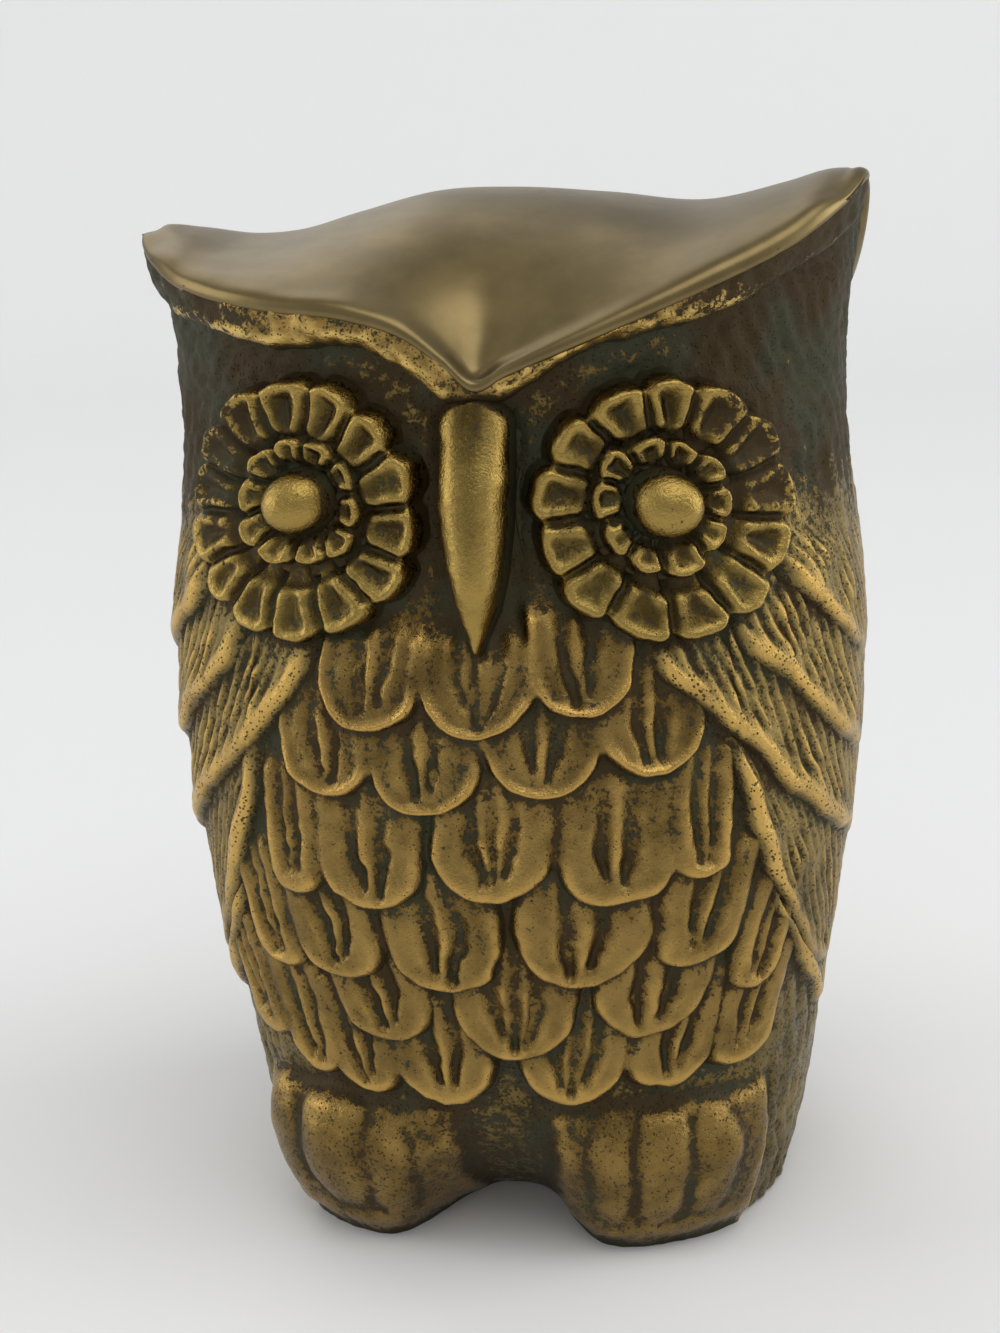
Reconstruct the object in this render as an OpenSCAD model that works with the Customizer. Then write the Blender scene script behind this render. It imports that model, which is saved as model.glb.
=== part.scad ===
// Cast brass owl figurine, hollow and open underneath, standing on its own rim.
// +Z is up and the owl looks along -Y. The origin is on the surface it stands on,
// under the middle of its outline. Angles run round the body from the front:
// 0 is the beak, 90 is the flank at +X, 180 is the back and -90 is the flank at -X.

/* [Overall] */
// Height to the taller ear tip
height = 127; // [110:1:145]
// Width across the flanks, feathers left out
body_w = 83; // [76:1:92]
// Depth from breast to back, feathers left out
body_d = 71; // [64:1:78]
// Thickness of the cast wall
wall_t = 3; // [2.5:0.5:4]

/* [Crown] */
// How far the smooth crown overhangs the face
brow_out = 3.5; // [2.5:0.5:4]

/* [Eyes] */
// Diameter of each outer petal ring
eye_d = 29; // [26:0.5:30]
// Petals in each outer ring
petals = 14; // [12:1:20]
// Height of the petal rims above the face
petal_h = 3.5; // [2.5:0.5:4.5]
// Diameter of the inner petal ring
iris_d = 15.5; // [13:0.5:17]
// Diameter of the domed pupil
pupil_d = 7.5; // [6:0.5:9]

/* [Beak] */
// Length of the beak from root to tip
beak_len = 27; // [22:1:30]
// Width of the beak at its root
beak_w = 8; // [6:0.5:10]
// How far the beak stands out of the face
beak_out = 6; // [4:0.5:8]

/* [Feathers] */
// Height of a breast feather at its lower edge
scale_h = 2; // [1.5:0.25:3]
// Height of the point between two breast feathers above their lower edges
cusp = 5; // [3:0.5:6]
// Height of a wing feather at its lower edge
wing_h = 2.6; // [2:0.2:3.4]

/* [Feet] */
// How far the toes stand out of the body
toe_h = 3.4; // [2.5:0.2:4]
// Height of the feet
foot_top = 24; // [20:1:25]

/* [Hidden] */

// the shape tables below hold for this height, width and depth
table_h = 127;
table_w = 83;
table_d = 71;
gain = [body_w / table_w, body_d / table_d, height / table_h];
centre_y = 0.6; // moves the outline's middle over the origin

squareness = 2.5; // 2 is an ellipse, more is boxier
// [height, half width] of the body
side = [[0, 31.5], [8, 33.6], [30, 36.9], [55, 40.6], [75, 41.5], [100, 39.3], [112, 39.7], [120, 40.9],
        [127, 41.9]];
// [height, depth] forward and backward of the middle
front = [[0, 26], [10, 28.5], [30, 32.5], [52, 35.5], [70, 35.5], [88, 33], [104, 31], [127, 29]];
back = [[0, 27], [10, 30], [35, 34], [65, 35.5], [90, 33], [108, 30], [127, 24]];
// the hollow between the feet
notch_in = 15;
notch_x = -2.5;
notch_w = 9.5;
notch_top = 22;
// [angle, height] of the edge where the crown sits on the shells, dipping to a point over the beak
rim = [[-180, 104], [-130, 106], [-108, 110], [-90, 117], [-78, 123], [-66, 121], [-58, 119], [-50, 118],
       [-38, 117], [-22, 116], [-12, 114], [-5, 111], [0, 108.5], [6, 110], [23, 114], [42, 118.5],
       [56, 122], [66, 125], [78, 127], [90, 119], [108, 110], [130, 106], [180, 104]];
// [angle, height] of the lower edge of the rough band under the crown
band = [[-66, 115], [-44, 111.5], [-24, 111.5], [-12, 108], [-6, 105], [0, 104], [6, 105], [16, 109],
        [24, 111], [45, 114], [66, 119]];
// [distance to the side, height] along the top of the crown, from ear tip to ear tip
ridge = [[-42, 123], [-36, 121.8], [-30, 120.7], [-25, 120.9], [-18, 122.6], [-8, 124.8], [1, 124.9],
         [12, 124.1], [24, 123.2], [33, 125.3], [38, 126.7], [42, 127]];
ear_at = 78; // angle of the ear tips
shell_top = 113; // the shells stop here under the ears, and the crown holds the ear tips
inner_mid = 120; // height of the hollow under the crown
// [angle, height] of the middle of each eye
eye_left = [-34, 95];
eye_right = [32.5, 94];
mm_per_deg = 0.64; // along the face beside the beak
beak_top = 106;
// each breast row: height of its lower edges, then the angles between its feathers
rows = [[69.5, [-28, -10, 9, 27]],
        [60.5, [-36, -19, 0, 19, 36]],
        [48.5, [-40, -30, -10, 11, 30, 39]],
        [38, [-44, -36, -19, 3, 26, 42]],
        [29, [-43, -30, -10, 16, 40]],
        [21, [-26, 2, 26]]];
breast_top = 80;
// wing feathers from the shoulder down: start angle, start height, height at the flank, bend
ridges = [[60, 93, 85, 1], [52, 83.5, 69, 1.4], [42, 78.5, 57.5, 1.6], [28, 77, 46, 1.5],
          [39.5, 65, 31, 3], [47, 46, 21, 1.5]];
flank = 84;
wing_back = 145;
back_rows = [[88, [148, 169, 191, 212]], [77, [148, 159, 180, 201, 212]], [66, [148, 169, 191, 212]],
             [55, [148, 159, 180, 201, 212]], [44, [148, 169, 191, 212]], [34, [148, 159, 180, 201, 212]]];
back_top = 98;
tail_top = 32;
brass = [0.72, 0.56, 0.25];
dark_brass = [0.45, 0.36, 0.18];
bright_brass = [0.85, 0.68, 0.32];

// ---- curves through tables ----
function mix(a, b, t) = a + (b - a) * t;
function gap(t, i) = t[i + 1][0] - t[i][0];
function chord(t, i) = (t[i + 1][1] - t[i][1]) / gap(t, i);
function span(t, x) = max([for (i = [0:len(t) - 2]) if (i == 0 || x >= t[i][0]) i]);
function slope(t, i) =
    i == 0 ? chord(t, 0) :
    i == len(t) - 1 ? chord(t, i - 1) :
    (chord(t, i - 1) * gap(t, i) + chord(t, i) * gap(t, i - 1)) / (gap(t, i) + gap(t, i - 1));
function curve(t, x) =
    let (i = span(t, x), h = gap(t, i), s = min(1, max(0, (x - t[i][0]) / h)))
    (2 * s * s * s - 3 * s * s + 1) * t[i][1] + (s * s * s - 2 * s * s + s) * h * slope(t, i)
    + (3 * s * s - 2 * s * s * s) * t[i + 1][1] + (s * s * s - s * s) * h * slope(t, i + 1);

// ---- the body's surface, at an angle, a height and a distance out of it ----
function notch(x, z) =
    z >= notch_top ? 0 : notch_in * exp(-pow(abs(x - notch_x) / notch_w, 3)) * pow(1 - z / notch_top, 2);
function wall(p, z, out = 0) =
    let (a = curve(side, z) + out, b = curve(cos(p) >= 0 ? front : back, z) + out,
         r = pow(pow(abs(sin(p)) / a, squareness) + pow(abs(cos(p)) / b, squareness), -1 / squareness),
         x = r * sin(p), y = -r * cos(p) + (cos(p) > 0 ? notch(x, z) : 0) + centre_y)
    [x * gain[0], y * gain[1], z * gain[2]];

// ---- closed solids between two grids of points, each a list of rows ----
function flat(grid) = [for (row = grid) each row];
// two triangles for each cell; wrap joins the last column to the first
function cells(rows, cols, first, up, wrap = false) =
    [for (i = [0:rows - 2], j = [0:cols - (wrap ? 1 : 2)])
        let (k = (j + 1) % cols, a = first + i * cols + j, b = first + i * cols + k,
             c = first + (i + 1) * cols + k, d = first + (i + 1) * cols + j)
        each (up ? [[a, c, b], [a, d, c]] : [[a, b, c], [a, c, d]])];
// triangles of a wall between two lines of point numbers
function strip(top, low) =
    [for (i = [0:len(top) - 2]) each [[top[i], top[i + 1], low[i + 1]], [top[i], low[i + 1], low[i]]]];

module slab(top, low) {
    r = len(top);
    c = len(top[0]);
    n = r * c;
    edge = concat([for (j = [0:c - 1]) j], [for (i = [1:r - 1]) i * c + c - 1],
                  [for (j = [c - 2:-1:0]) (r - 1) * c + j], [for (i = [r - 2:-1:0]) i * c]);
    polyhedron(concat(flat(top), flat(low)),
               concat(cells(r, c, 0, true), cells(r, c, n, false), strip(edge, [for (e = edge) e + n])));
}

// rings of points that run outwards from a pole, above and below
module cap(pole_top, top, pole_low, low) {
    r = len(top);
    c = len(top[0]);
    n = r * c;
    edge = [for (j = [0:c]) (r - 1) * c + j % c];
    polyhedron(concat(flat(top), flat(low), [pole_top, pole_low]),
               concat(cells(r, c, 0, false, true), cells(r, c, n, true, true),
                      [for (j = [0:c - 1]) [2 * n, (j + 1) % c, j]],
                      [for (j = [0:c - 1]) [2 * n + 1, n + j, n + (j + 1) % c]],
                      strip(edge, [for (e = edge) e + n])));
}

// the same with an opening in the middle
module ring(top, low) {
    r = len(top);
    c = len(top[0]);
    n = r * c;
    inner = [for (j = [c:-1:0]) j % c];
    outer = [for (j = [0:c]) (r - 1) * c + j % c];
    polyhedron(concat(flat(top), flat(low)),
               concat(cells(r, c, 0, false, true), cells(r, c, n, true, true),
                      strip(inner, [for (e = inner) e + n]), strip(outer, [for (e = outer) e + n])));
}

// ---- shells: two half castings, joined down the flanks ----
module shell(from, to) {
    across = 24;
    up = 18;
    grid = function (out) [for (i = [0:up]) [for (j = [0:across])
        let (p = mix(from, to, j / across)) wall(p, joint_z(p > 180 ? p - 360 : p) * i / up, out)]];
    slab(grid(0), grid(-wall_t));
}
module front_shell() { color(dark_brass) shell(-90, 90); }
module back_shell() { color(dark_brass) shell(90, 270); }

// ---- crown: a smooth cap with an ear tip at each side ----
function brow(p) = brow_out * mix(0.3, 1, pow(max(0, cos(p * 90 / ear_at)), 0.5));
function joint_z(p) = min(curve(rim, p) - 1, shell_top);
// [across, forward, height] of the crown's edge, in front of the ear tips and behind them
front_edge = [for (p = [-ear_at:3:ear_at]) edge_point(p)];
back_edge = [for (p = [ear_at:3:360 - ear_at]) edge_point(p > 180 ? p - 360 : p)];
function edge_point(p) = wall(p, curve(rim, p), brow(p));
function ridge_y(x) = edge_point(ear_at)[1] * pow(x / edge_point(ear_at)[0], 2);
// height over a point: the ridge line, falling to the edge in front and behind
function crown_z(p, x, y) =
    let (ahead = abs(p) < ear_at, line = ahead ? front_edge : back_edge,
         edge_y = lookup(x, [for (e = line) [e[0], e[1]]]), edge_z = lookup(x, [for (e = line) [e[0], e[2]]]),
         top = curve(ridge, x / gain[0]) * gain[2], reach = edge_y - ridge_y(x),
         part = abs(reach) < 0.5 ? 1 : min(1, max(0, (y - ridge_y(x)) / reach)))
    mix(top, edge_z, pow(part, 2.2));
module crown() {
    steps = 60;
    around = [for (j = [0:steps - 1]) -180 + 360 * j / steps];
    rings = [0.2, 0.4, 0.6, 0.75, 0.87, 0.95];
    top = [for (f = rings) [for (p = around)
        let (e = edge_point(p)) [e[0] * f, e[1] * f, crown_z(p, e[0] * f, e[1] * f)]]];
    skirt = [[for (p = around) edge_point(p)],
             [for (p = around) wall(p, curve(rim, p), 0)],
             [for (p = around) wall(p, joint_z(p), 0)]];
    hollow = [for (f = concat(rings, [0.98, 0.99, 1])) [for (p = around)
        let (e = wall(p, joint_z(p), -wall_t))
        [e[0] * f, e[1] * f, mix(inner_mid * gain[2], e[2], pow(f, 1.3))]]];
    color(brass)
    cap([0, 0, curve(ridge, 0) * gain[2]], concat(top, skirt), [0, 0, inner_mid * gain[2]], hollow);
}

// ---- the rough band that faces forward under the crown ----
module brow_ridge() {
    steps = 36;
    reach = 66;
    line = [for (j = [0:steps]) mix(-reach, reach, j / steps)];
    grid = function (share) [for (i = [0:3]) [for (p = line)
        wall(p, mix(curve(band, p), curve(rim, p), i / 3), share * brow(p) * (0.5 + i / 6))]];
    color(dark_brass) slab(grid(1), grid(0));
}

// ---- eyes: an outer ring of petals, an inner ring and a domed pupil ----
function eye_point(eye, r, a, h) = wall(eye[0] + r * cos(a) / mm_per_deg, eye[1] + r * sin(a), h);
module eye_petals(eye) {
    steps = petals * 4;
    in = iris_d / 2;
    out = eye_d / 2;
    // the ring is scalloped outside, and each petal is a raised rim round a hollow
    edge = function (a) out - 0.9 + 0.9 * abs(cos(a * petals / 2));
    rim_h = function (f, a) petal_h * (f < 0.1 ? 0.55 : f > 0.95 ? 0.75 : f > 0.7 ? 1
        : 0.55 + 0.35 * pow(abs(sin(a * petals / 2)), 2));
    spread = [0, 0.15, 0.5, 0.72, 0.9, 1];
    grid = function (up) [for (f = spread) [for (j = [0:steps - 1])
        let (a = 360 * j / steps) eye_point(eye, mix(in, edge(a), f), a, up * rim_h(f, a))]];
    color(bright_brass) ring(grid(1), grid(0));
}
module iris(eye) {
    steps = 30;
    in = pupil_d / 2;
    out = iris_d / 2;
    bump = function (r, a) 1.6 + (r < in || r > out * 0.95 ? 0 : 0.6 + 0.3 * cos(a * 10));
    radii = [in * 0.5, in, in * 1.2, out * 0.85, out];
    grid = function (up) [for (r = radii) [for (j = [0:steps - 1])
        let (a = 360 * j / steps) eye_point(eye, r, a, up * bump(r, a))]];
    color(brass) cap(eye_point(eye, 0, 0, 1.6), grid(1), eye_point(eye, 0, 0, 0), grid(0));
}
module pupil(eye) {
    steps = 24;
    r = pupil_d / 2;
    rows = [for (t = [18:18:90]) t];
    grid = function (up) [for (t = rows) [for (j = [0:steps - 1])
        eye_point(eye, r * 0.98 * sin(t), 360 * j / steps, 1.6 + up * r * 0.85 * cos(t))]];
    color(bright_brass)
    cap(eye_point(eye, 0, 0, 1.6 + r * 0.85), grid(1), eye_point(eye, 0, 0, 1.6), grid(0));
}
module left_eye_petals() { eye_petals(eye_left); }
module right_eye_petals() { eye_petals(eye_right); }
module left_iris() { iris(eye_left); }
module right_iris() { iris(eye_right); }
module left_pupil() { pupil(eye_left); }
module right_pupil() { pupil(eye_right); }

// ---- beak: a long ridge that narrows to a point ----
module beak() {
    along = 12;
    width = function (f) beak_w / 2 * pow(max(0.02, 1 - pow(1 - f, 5)), 0.5) * (1 - 0.85 * pow(f, 3));
    rise = function (f) beak_out * pow(sin(min(90, 25 + 160 * f)), 0.8) * (1 - 0.45 * pow(f, 4));
    side_f = [-1, -0.85, -0.5, 0, 0.5, 0.85, 1];
    grid = function (up) [for (i = [along:-1:0]) [for (s = side_f)
        let (f = i / along)
        wall(s * width(f) / mm_per_deg, beak_top - beak_len * f, up * (0.3 + rise(f) * pow(1 - s * s, 0.5)))]];
    color(bright_brass) slab(grid(1), grid(0));
}

// ---- breast and back: rows of overlapping feathers ----
// height of a row's scalloped lower edge at an angle
function scallop(row, p) =
    let (e = row[1], n = len(e) - 1, q = min(e[n], max(e[0], p)),
         i = max([for (k = [0:n - 1]) if (q >= e[k]) k]), w = 2 * (q - e[i]) / (e[i + 1] - e[i]) - 1)
    row[0] + cusp * w * w;
function row_line(edges, per) =
    [for (i = [0:len(edges) - 2], j = [0:per - 1]) mix(edges[i], edges[i + 1], j / per)];
module feather_row(k) {
    row = rows[k];
    line = concat(row_line(row[1], 6), [row[1][len(row[1]) - 1]]);
    // a feather starts under the row above, and one beside that row is a little shorter
    over = k == 0 ? line : rows[k - 1][1];
    top_z = function (p) k == 0 ? breast_top
        : p < over[0] || p > over[len(over) - 1] ? row[0] + 2 * cusp : scallop(rows[k - 1], p);
    levels = [[0, 1], [0.12, 1], [0.5, 0.75], [1, 0.25]]; // share of the row, share of the height
    fade = function (p) min(1, 0.3 + min(p - line[0], line[len(line) - 1] - p) / 4);
    grid = function (up) [for (l = levels) [for (p = line)
        wall(p, mix(scallop(row, p), top_z(p), l[0]), up * fade(p) * scale_h * l[1])]];
    color(k % 2 == 0 ? brass : bright_brass) slab(grid(1), grid(0));
}
module breast_row_1() { feather_row(0); }
module breast_row_2() { feather_row(1); }
module breast_row_3() { feather_row(2); }
module breast_row_4() { feather_row(3); }
module breast_row_5() { feather_row(4); }
module breast_row_6() { feather_row(5); }

module back_feathers() {
    line = [for (p = [148:3.5:211.1]) p];
    last = len(back_rows) - 1;
    tops = function (k, p) k == 0 ? back_top : scallop(back_rows[k - 1], p) - 0.3;
    grid = function (up) [for (k = [last:-1:0], l = [[0, 1], [0.15, 1], [1, 0.25]]) [for (p = line)
        wall(p, mix(scallop(back_rows[k], p), tops(k, p), l[0]), up * scale_h * l[1])]];
    color(brass) slab(grid(1), grid(0));
}

// ---- wings: long feathers that sweep down and back round each flank ----
function ridge_z(g, p) =
    p >= flank ? g[2] - 0.12 * (p - flank)
    : g[2] + (g[1] - g[2]) * pow((flank - p) / (flank - g[0]), g[3]);
function ridge_point(g, u) = let (p = mix(g[0], wing_back, u)) [p, ridge_z(g, p)];
module wing(hand) {
    across = 22;
    last = len(ridges) - 1;
    levels = [[0, 1], [0.2, 0.9], [0.6, 0.55], [0.96, 0.25]]; // share up to the feather above, share of height
    line = hand > 0 ? [for (j = [0:across]) j / across] : [for (j = [across:-1:0]) j / across];
    grid = function (up) [for (k = [last:-1:1], l = levels) [for (u = line)
        let (a = mix(ridge_point(ridges[k], u), ridge_point(ridges[k - 1], u), l[0]))
        wall(hand * a[0], a[1], up * wing_h * l[1])]];
    color(brass) slab(grid(1), grid(0));
}
module left_wing() { wing(-1); }
module right_wing() { wing(1); }

// ---- feet: a lobe each, with three long toes ----
module foot(middle) {
    half = 24;
    across = 24;
    toe = function (p) pow(abs(cos((p - middle) * 180 / 16)), 0.6);
    round_f = function (f) pow(max(0, sin(180 * pow(mix(0.06, 0.97, f), 0.6))), 0.5);
    levels = [0, 0.12, 0.3, 0.5, 0.7, 0.88, 1];
    grid = function (up) [for (f = levels) [for (j = [0:across])
        let (p = middle + mix(-half, half, j / across),
             fade = sqrt(max(0, 1 - pow((p - middle) / (half + 1), 6))))
        wall(p, foot_top * f * (1 - 0.2 * pow((p - middle) / half, 2)),
             up * (0.4 + toe_h * fade * round_f(f) * (0.55 + 0.45 * toe(p))))]];
    color(bright_brass) slab(grid(1), grid(0));
}
module left_foot() { foot(-40); }
module right_foot() { foot(38); }

// ---- tail: long feathers down to the rim at the back ----
module tail() {
    across = 24;
    half = 28;
    levels = [0, 0.1, 0.35, 0.65, 0.9, 1];
    grid = function (up) [for (f = levels) [for (j = [0:across])
        let (p = 180 + mix(-half, half, j / across), quill = abs(cos((p - 180) * 180 / 14)))
        wall(p, tail_top * f, up * (0.5 + (2.4 - 1.6 * f) * (0.6 + 0.4 * quill)))]];
    color(bright_brass) slab(grid(1), grid(0));
}

front_shell();
back_shell();
crown();
brow_ridge();
beak();
left_eye_petals();
right_eye_petals();
left_iris();
right_iris();
left_pupil();
right_pupil();
breast_row_1();
breast_row_2();
breast_row_3();
breast_row_4();
breast_row_5();
breast_row_6();
left_wing();
right_wing();
left_foot();
right_foot();
back_feathers();
tail();
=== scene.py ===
import math

import bpy
import numpy as np
from mathutils import Matrix, Vector


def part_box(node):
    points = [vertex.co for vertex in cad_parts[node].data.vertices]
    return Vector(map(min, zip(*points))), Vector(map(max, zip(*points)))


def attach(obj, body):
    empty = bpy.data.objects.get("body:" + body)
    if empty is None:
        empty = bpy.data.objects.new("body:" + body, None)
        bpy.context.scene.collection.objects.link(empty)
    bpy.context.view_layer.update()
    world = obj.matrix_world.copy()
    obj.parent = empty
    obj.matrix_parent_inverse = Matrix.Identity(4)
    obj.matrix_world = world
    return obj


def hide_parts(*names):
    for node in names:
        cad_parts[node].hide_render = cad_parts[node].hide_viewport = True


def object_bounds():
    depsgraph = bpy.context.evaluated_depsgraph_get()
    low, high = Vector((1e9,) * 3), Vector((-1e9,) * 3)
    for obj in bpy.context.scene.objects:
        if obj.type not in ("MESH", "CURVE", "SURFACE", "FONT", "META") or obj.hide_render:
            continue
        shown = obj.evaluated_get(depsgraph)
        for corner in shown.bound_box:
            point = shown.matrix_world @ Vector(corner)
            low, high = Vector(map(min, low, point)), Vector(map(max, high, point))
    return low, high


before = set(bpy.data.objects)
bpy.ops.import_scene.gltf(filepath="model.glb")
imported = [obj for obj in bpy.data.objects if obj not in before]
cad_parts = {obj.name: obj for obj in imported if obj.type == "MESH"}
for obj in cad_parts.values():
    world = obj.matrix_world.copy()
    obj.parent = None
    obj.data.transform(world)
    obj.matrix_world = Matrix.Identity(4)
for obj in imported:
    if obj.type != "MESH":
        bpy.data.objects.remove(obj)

cadLow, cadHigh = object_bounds()
mm = 0.001

# the owl's body: widths and depths in mm at a height in mm, for an owl of the nominal size below
body = {
    "nominalWidth": 83.0,      # across the shells
    "nominalHeight": 127.0,
    "squareness": 2.5,         # 2 is an ellipse, more is boxier
    "side": [(0, 31.5), (8, 33.6), (30, 36.9), (55, 40.6), (75, 41.5), (100, 39.3), (112, 39.7), (120, 40.9),
             (127, 41.9)],
    "front": [(0, 26), (10, 28.5), (30, 32.5), (52, 35.5), (70, 35.5), (88, 33), (104, 31), (127, 29)],
    "back": [(0, 27), (10, 30), (35, 34), (65, 35.5), (90, 33), (108, 30), (127, 24)],
    "centreY": 0.6,
    "notchIn": 15.0, "notchX": -2.5, "notchWide": 9.5, "notchTop": 22.0,
    "wall": 3.0,               # thickness of the casting
}
# heights in mm of the edge where the crown ends, by the angle round the body from the beak
rim = [(-180, 104), (-130, 106), (-108, 110), (-90, 117), (-78, 122.4), (-66, 120.8), (-58, 119), (-50, 118),
       (-38, 117), (-22, 116), (-12, 114), (-5, 111), (0, 108.5), (6, 110), (23, 114), (42, 118.5),
       (56, 122), (66, 125), (78, 127), (90, 119), (108, 110), (130, 106), (180, 104)]
earAt = 78.0

shellLow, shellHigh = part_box("front_shell")
wider = (shellHigh.x - shellLow.x) / mm / body["nominalWidth"]
stretch = np.array([wider, wider, (cadHigh.z - cadLow.z) / mm / body["nominalHeight"]])


def clip(x, low=0.0, high=1.0):
    return np.minimum(np.maximum(x, low), high)


def ease(x, start, end):
    # 0 before start and 1 after end, with the curve 3t^2 - 2t^3 between
    t = clip((x - start) / (end - start))
    return t * t * (3 - 2 * t)


def rounded(x):
    # a quarter circle, sqrt(1 - (1 - x)^2): 0 at 0, and level with 1 from 1 on
    return np.sqrt(clip(1 - (1 - clip(x)) ** 2))


def signed(angle):
    # the same direction, between -180 and 180
    return (angle + 180) % 360 - 180


def smoothCurve(table, x):
    # cubic pieces through the table's points; each slope is the mean of its two chords, weighted by the other gap
    at, value = np.array(table, float).T
    gap, rise = np.diff(at), np.diff(value) / np.diff(at)
    mean = (rise[:-1] * gap[1:] + rise[1:] * gap[:-1]) / (gap[1:] + gap[:-1])
    slope = np.concatenate([rise[:1], mean, rise[-1:]])
    x = clip(x, at[0], at[-1])
    i = np.clip(np.searchsorted(at, x, side="right") - 1, 0, len(at) - 2)
    s, h = (x - at[i]) / gap[i], gap[i]
    return ((2 * s**3 - 3 * s**2 + 1) * value[i] + (s**3 - 2 * s**2 + s) * h * slope[i]
            + (3 * s**2 - 2 * s**3) * value[i + 1] + (s**3 - s**2) * h * slope[i + 1])


def rimHeight(angle):
    return smoothCurve(rim, signed(angle))


def wallPoint(angle, z, out):
    # r = (|sin a / w|^n + |cos a / d|^n)^(-1/n) round the body, with the notch between the feet pushed in
    a = np.radians(angle)
    wide = smoothCurve(body["side"], z) + out
    deep = np.where(np.cos(a) >= 0, smoothCurve(body["front"], z), smoothCurve(body["back"], z)) + out
    n = body["squareness"]
    r = (np.abs(np.sin(a) / wide) ** n + np.abs(np.cos(a) / deep) ** n) ** (-1 / n)
    x, y = r * np.sin(a), -r * np.cos(a)
    fall = clip(1 - z / body["notchTop"]) ** 2
    notch = body["notchIn"] * np.exp(-(np.abs(x - body["notchX"]) / body["notchWide"]) ** 3) * fall
    y = y + np.where(np.cos(a) > 0, notch, 0) + body["centreY"]
    return np.stack([x, y, z + 0 * x], -1) * stretch


angleList = np.linspace(-220, 400, 3101)


def arcList(z):
    # length in mm along the body from the front, for each angle in angleList
    p = wallPoint(angleList, np.full_like(angleList, z), 0.0)[:, :2]
    s = np.concatenate([[0], np.cumsum(np.hypot(*np.diff(p, axis=0).T))])
    return s - np.interp(0, angleList, s)


def along(angle, z):
    return np.interp(angle, angleList, arcList(z))


def angleOf(length, z):
    return np.interp(length, arcList(z), angleList)


def valueNoise(x, y, seed, size):
    # smooth noise from -1 to 1: random values on a square lattice of the given size, blended with 3t^2 - 2t^3
    table = np.random.default_rng(seed).uniform(-1, 1, (257, 257))
    x, y = x / size, y / size
    i, j = np.floor(x).astype(int), np.floor(y).astype(int)
    u, v = x - i, y - j
    u, v = u * u * (3 - 2 * u), v * v * (3 - 2 * v)
    i, j = i % 256, j % 256
    return ((table[i, j] * (1 - u) + table[i + 1, j] * u) * (1 - v)
            + (table[i, j + 1] * (1 - u) + table[i + 1, j + 1] * u) * v)


def softMax(a, b, k):
    # the larger of the two, with a fillet where they differ by less than k
    h = clip(k - np.abs(a - b), 0, np.inf) / k
    return np.maximum(a, b) + h * h * k / 4


def seat(ground, feature, fillet=0.8):
    # a raised form meets the ground in a fillet, then dips under it, so that no edge floats
    gone = clip(ground - fillet - feature, 0, np.inf)
    return softMax(ground, feature, fillet) - np.minimum(0.5 * gone, 1.1)


def sinkOut(h, keep, sink=1.6):
    # h where keep is 1, sliding under the ground where it is 0
    return h * keep - sink * (1 - keep)


def stray(angle, z, seed, far=0.45, near=0.14):
    # the pattern was cut by hand and cast in sand, so every line strays by up to far and near mm
    s = along(angle, 60.0)
    sideways, up = (far * valueNoise(s, z, seed + i, 5.0) + near * valueNoise(s, z, seed + 2 + i, 1.3)
                    for i in (0, 1))
    return angle + sideways * 1.5, z + up


# the raised forms, each a height in mm over the body at an angle and a height

ground = {
    "strokeGap": 2.5, "strokeDeep": 0.45,      # the strokes at the temples
    "flankGap": 2.9, "flankDeep": 0.38,        # and low on the flanks
    "faceDeep": 0.9, "besideBeak": 0.7,        # the hollow over the face, and a deeper one each side of the beak
    "skin": 0.12,                              # roughness left by the sand
}


def groundHeight(angle, z):
    # the plain casting: a shallow hollow over the face, and feather strokes, 0.5 - 0.5 cos, at temples and flanks
    side, s = np.abs(angle), along(angle, 95.0)
    face = ease(z, 74, 82) * (1 - ease(z - rimHeight(angle), -9, -3)) * (1 - ease(side, 60, 74))
    h = -ground["faceDeep"] * face
    h = h - ground["besideBeak"] * np.exp(-((side - 6.5) / 2.6) ** 2) * ease(z, 76, 84) * (1 - ease(z, 102, 107))
    temple = ease(side, 40, 56) * (1 - ease(side, 150, 165)) * ease(z, 80, 90)
    wander = 1.6 * valueNoise(s + 40, z, 5, 9.0) + 0.5 * valueNoise(s, z, 6, 2.5)
    across = (np.abs(s) * 0.86 + z * 0.42 + wander + 0.012 * (z - 100) ** 2) / ground["strokeGap"]
    stroke = 0.5 - 0.5 * np.cos(2 * np.pi * across)
    strength = clip(0.65 + 0.6 * valueNoise(s, z, 7, 6.0))
    h = h - ground["strokeDeep"] * temple * strength * (1 - stroke) ** 1.5 + 0.25 * temple
    low = (1 - ease(z, 30, 40)) * ease(side, 46, 58)
    across = (along(angle, 20.0) + 1.4 * valueNoise(s, z, 8, 6.0) + 0.2 * z) / ground["flankGap"]
    down = 0.5 - 0.5 * np.cos(2 * np.pi * across)
    strength = clip(0.6 + 0.8 * valueNoise(s, z, 9, 5.0))
    h = h - ground["flankDeep"] * low * (1 - down) ** 1.5 * strength + 0.2 * low
    rough = 1 - ease(z, 24, 34) * (1 - ease(z, 82, 90)) * (1 - ease(side, 70, 80))
    fine = valueNoise(s, z, 12, 1.2) + 0.7 * valueNoise(s, z, 13, 0.8)
    return h + ground["skin"] * (valueNoise(s, z, 11, 3.5) + (0.9 * rough + 0.8 * face) * fine)


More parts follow.
